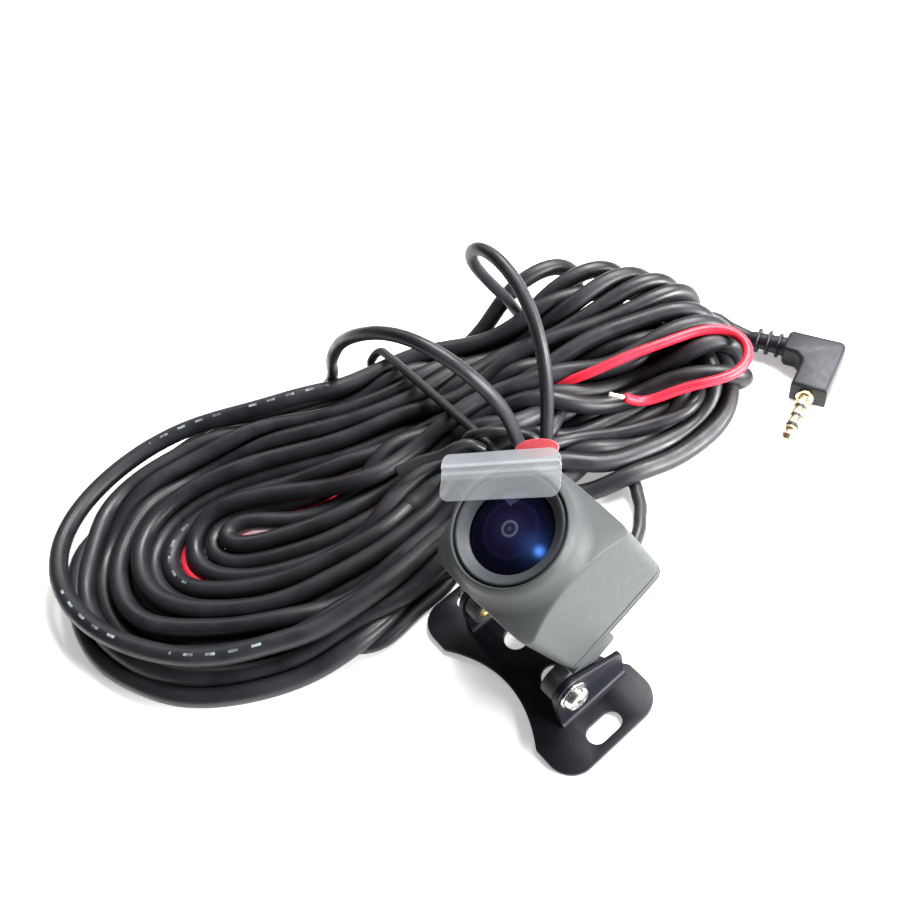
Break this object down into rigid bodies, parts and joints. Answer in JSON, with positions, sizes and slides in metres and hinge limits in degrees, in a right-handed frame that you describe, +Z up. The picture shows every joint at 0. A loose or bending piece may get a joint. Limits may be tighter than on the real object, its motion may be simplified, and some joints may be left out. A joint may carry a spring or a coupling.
{
  "type": "vehicle backup camera",
  "caption": "Square camera head tilting on a folded steel bracket, with a long tied lead, a right-angle jack plug and a bare trigger wire.",
  "frame": {"origin": "centre of the underside of the bracket plate", "axes": "+X along the plate and parallel to the tilt axis, +Y from the tilt axis towards the lead's exit, +Z up off the mounting surface"},
  "size_m": [0.1142, 0.1498, 0.047],
  "materials": {
    "housing_plastic": "glossy black moulding",
    "cover_plastic": "satin black moulding",
    "inner_plastic": "matt black moulding",
    "bezel_plastic": "satin dark grey",
    "bracket_paint": "satin black powder coat on folded steel",
    "plated_steel": "bright nickel plate",
    "brass": "turned brass",
    "gold_plate": "gold plate on brass",
    "seal_rubber": "matt black rubber",
    "plug_moulding": "satin black flexible moulding",
    "lead_sheath": "semi-gloss black sheath",
    "tie_sheath": "satin black sheath over wire",
    "red_sheath": "semi-gloss red sheath",
    "red_film": "red film",
    "clear_film": "clear protective film",
    "lens_glass": "coated optical glass",
    "filter_glass": "coated filter glass",
    "circuit_board": "solder mask over glass epoxy",
    "electronic_parts": "moulded and bare chip faces",
    "connector_nylon": "natural nylon",
    "tinned_copper": "tinned copper strands"
  },
  "bodies": {
    "base": {"bracket": "bracket_paint", "cable_hank": "lead_sheath", "twist_tie": "tie_sheath", "lead_camera_end": "lead_sheath", "lead_far_loop": "lead_sheath", "lead_near_loop": "lead_sheath", "lead_plug_end": "lead_sheath", "trigger_wire": "red_sheath", "trigger_wire_end": "tinned_copper", "plug_body": "plug_moulding", "plug_strain_relief": "plug_moulding", "jack_collar": "gold_plate", "jack_sleeve": "gold_plate", "jack_insulator_1": "inner_plastic", "jack_ring_1": "gold_plate", "jack_insulator_2": "inner_plastic", "jack_ring_2": "gold_plate", "jack_insulator_3": "inner_plastic", "jack_tip": "gold_plate"},
    "head": {"front_housing": "housing_plastic", "rear_cover": "cover_plastic", "lens_barrel": "inner_plastic", "aperture_plate": "inner_plastic", "lens_spacer": "inner_plastic", "lens_holder": "inner_plastic", "lens_bezel": "bezel_plastic", "cover_screw_1": "plated_steel", "cover_screw_2": "plated_steel", "cover_screw_3": "plated_steel", "cover_screw_4": "plated_steel", "holder_screw_1": "plated_steel", "holder_screw_2": "plated_steel", "pivot_screw_right": "plated_steel", "pivot_screw_left": "plated_steel", "pivot_washer_right": "plated_steel", "pivot_washer_left": "plated_steel", "pivot_insert_right": "brass", "pivot_insert_left": "brass", "rear_gasket": "seal_rubber", "lens_seal": "seal_rubber", "cable_gland": "seal_rubber", "lead_inner_end": "lead_sheath", "film_pull_tab": "red_film", "lens_film": "clear_film", "front_lens": "lens_glass", "second_lens": "lens_glass", "third_lens": "lens_glass", "rear_lens": "lens_glass", "infrared_filter": "filter_glass", "sensor_board": "circuit_board", "power_board": "circuit_board", "image_sensor": "electronic_parts", "inductor": "electronic_parts", "board_header": "connector_nylon", "lead_socket": "connector_nylon", "lead_crimp_plug": "connector_nylon"}
  },
  "joints": [
    {"name": "head_tilt", "type": "hinge", "parent": "base", "child": "head", "pos_m": [0, -0.0018, 0.0095], "axis": [1, 0, 0], "range_deg": [-25, 75], "deforming": ["lead_camera_end"]}
  ]
}
